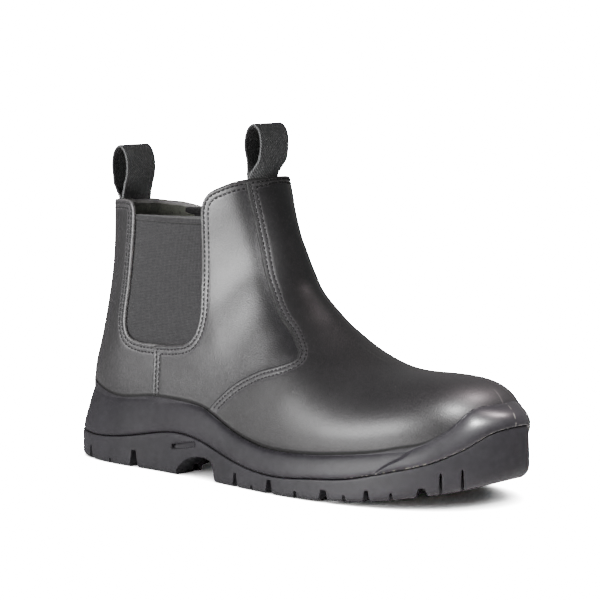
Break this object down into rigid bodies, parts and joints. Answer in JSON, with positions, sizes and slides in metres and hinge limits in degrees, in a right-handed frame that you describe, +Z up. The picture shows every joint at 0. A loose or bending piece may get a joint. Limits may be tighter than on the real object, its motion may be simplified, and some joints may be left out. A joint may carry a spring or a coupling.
{
  "type": "side gore work boot",
  "caption": "Ankle-high pull-on work boot with elastic side panels, pull loops at the collar, a cupped rubber sole with a toe bumper and a lugged tread.",
  "frame": {"origin": "centre of the bounding box at the floor, under the waist of the sole", "axes": "+X towards the toe, +Y towards the inner side of the foot, +Z up"},
  "size_m": [0.3001, 0.1079, 0.1977],
  "materials": {
    "outsole_rubber": "matte moulded rubber",
    "midsole_rubber": "matte moulded rubber, softer than the tread",
    "insole_foam": "textile-topped foam footbed",
    "quarter_leather": "fine grained leather, satin",
    "vamp_leather": "fine grained oiled leather, satin",
    "gore_elastic": "ribbed elastic cloth",
    "webbing": "woven webbing"
  },
  "bodies": {
    "root": {"outsole": "outsole_rubber", "midsole": "midsole_rubber", "insole": "insole_foam", "upper": "quarter_leather", "vamp": "vamp_leather", "quarter_outer": "quarter_leather", "quarter_inner": "quarter_leather", "gore_outer": "gore_elastic", "gore_inner": "gore_elastic", "pull_loop_front": "webbing", "pull_loop_back": "webbing"}
  },
  "joints": []
}
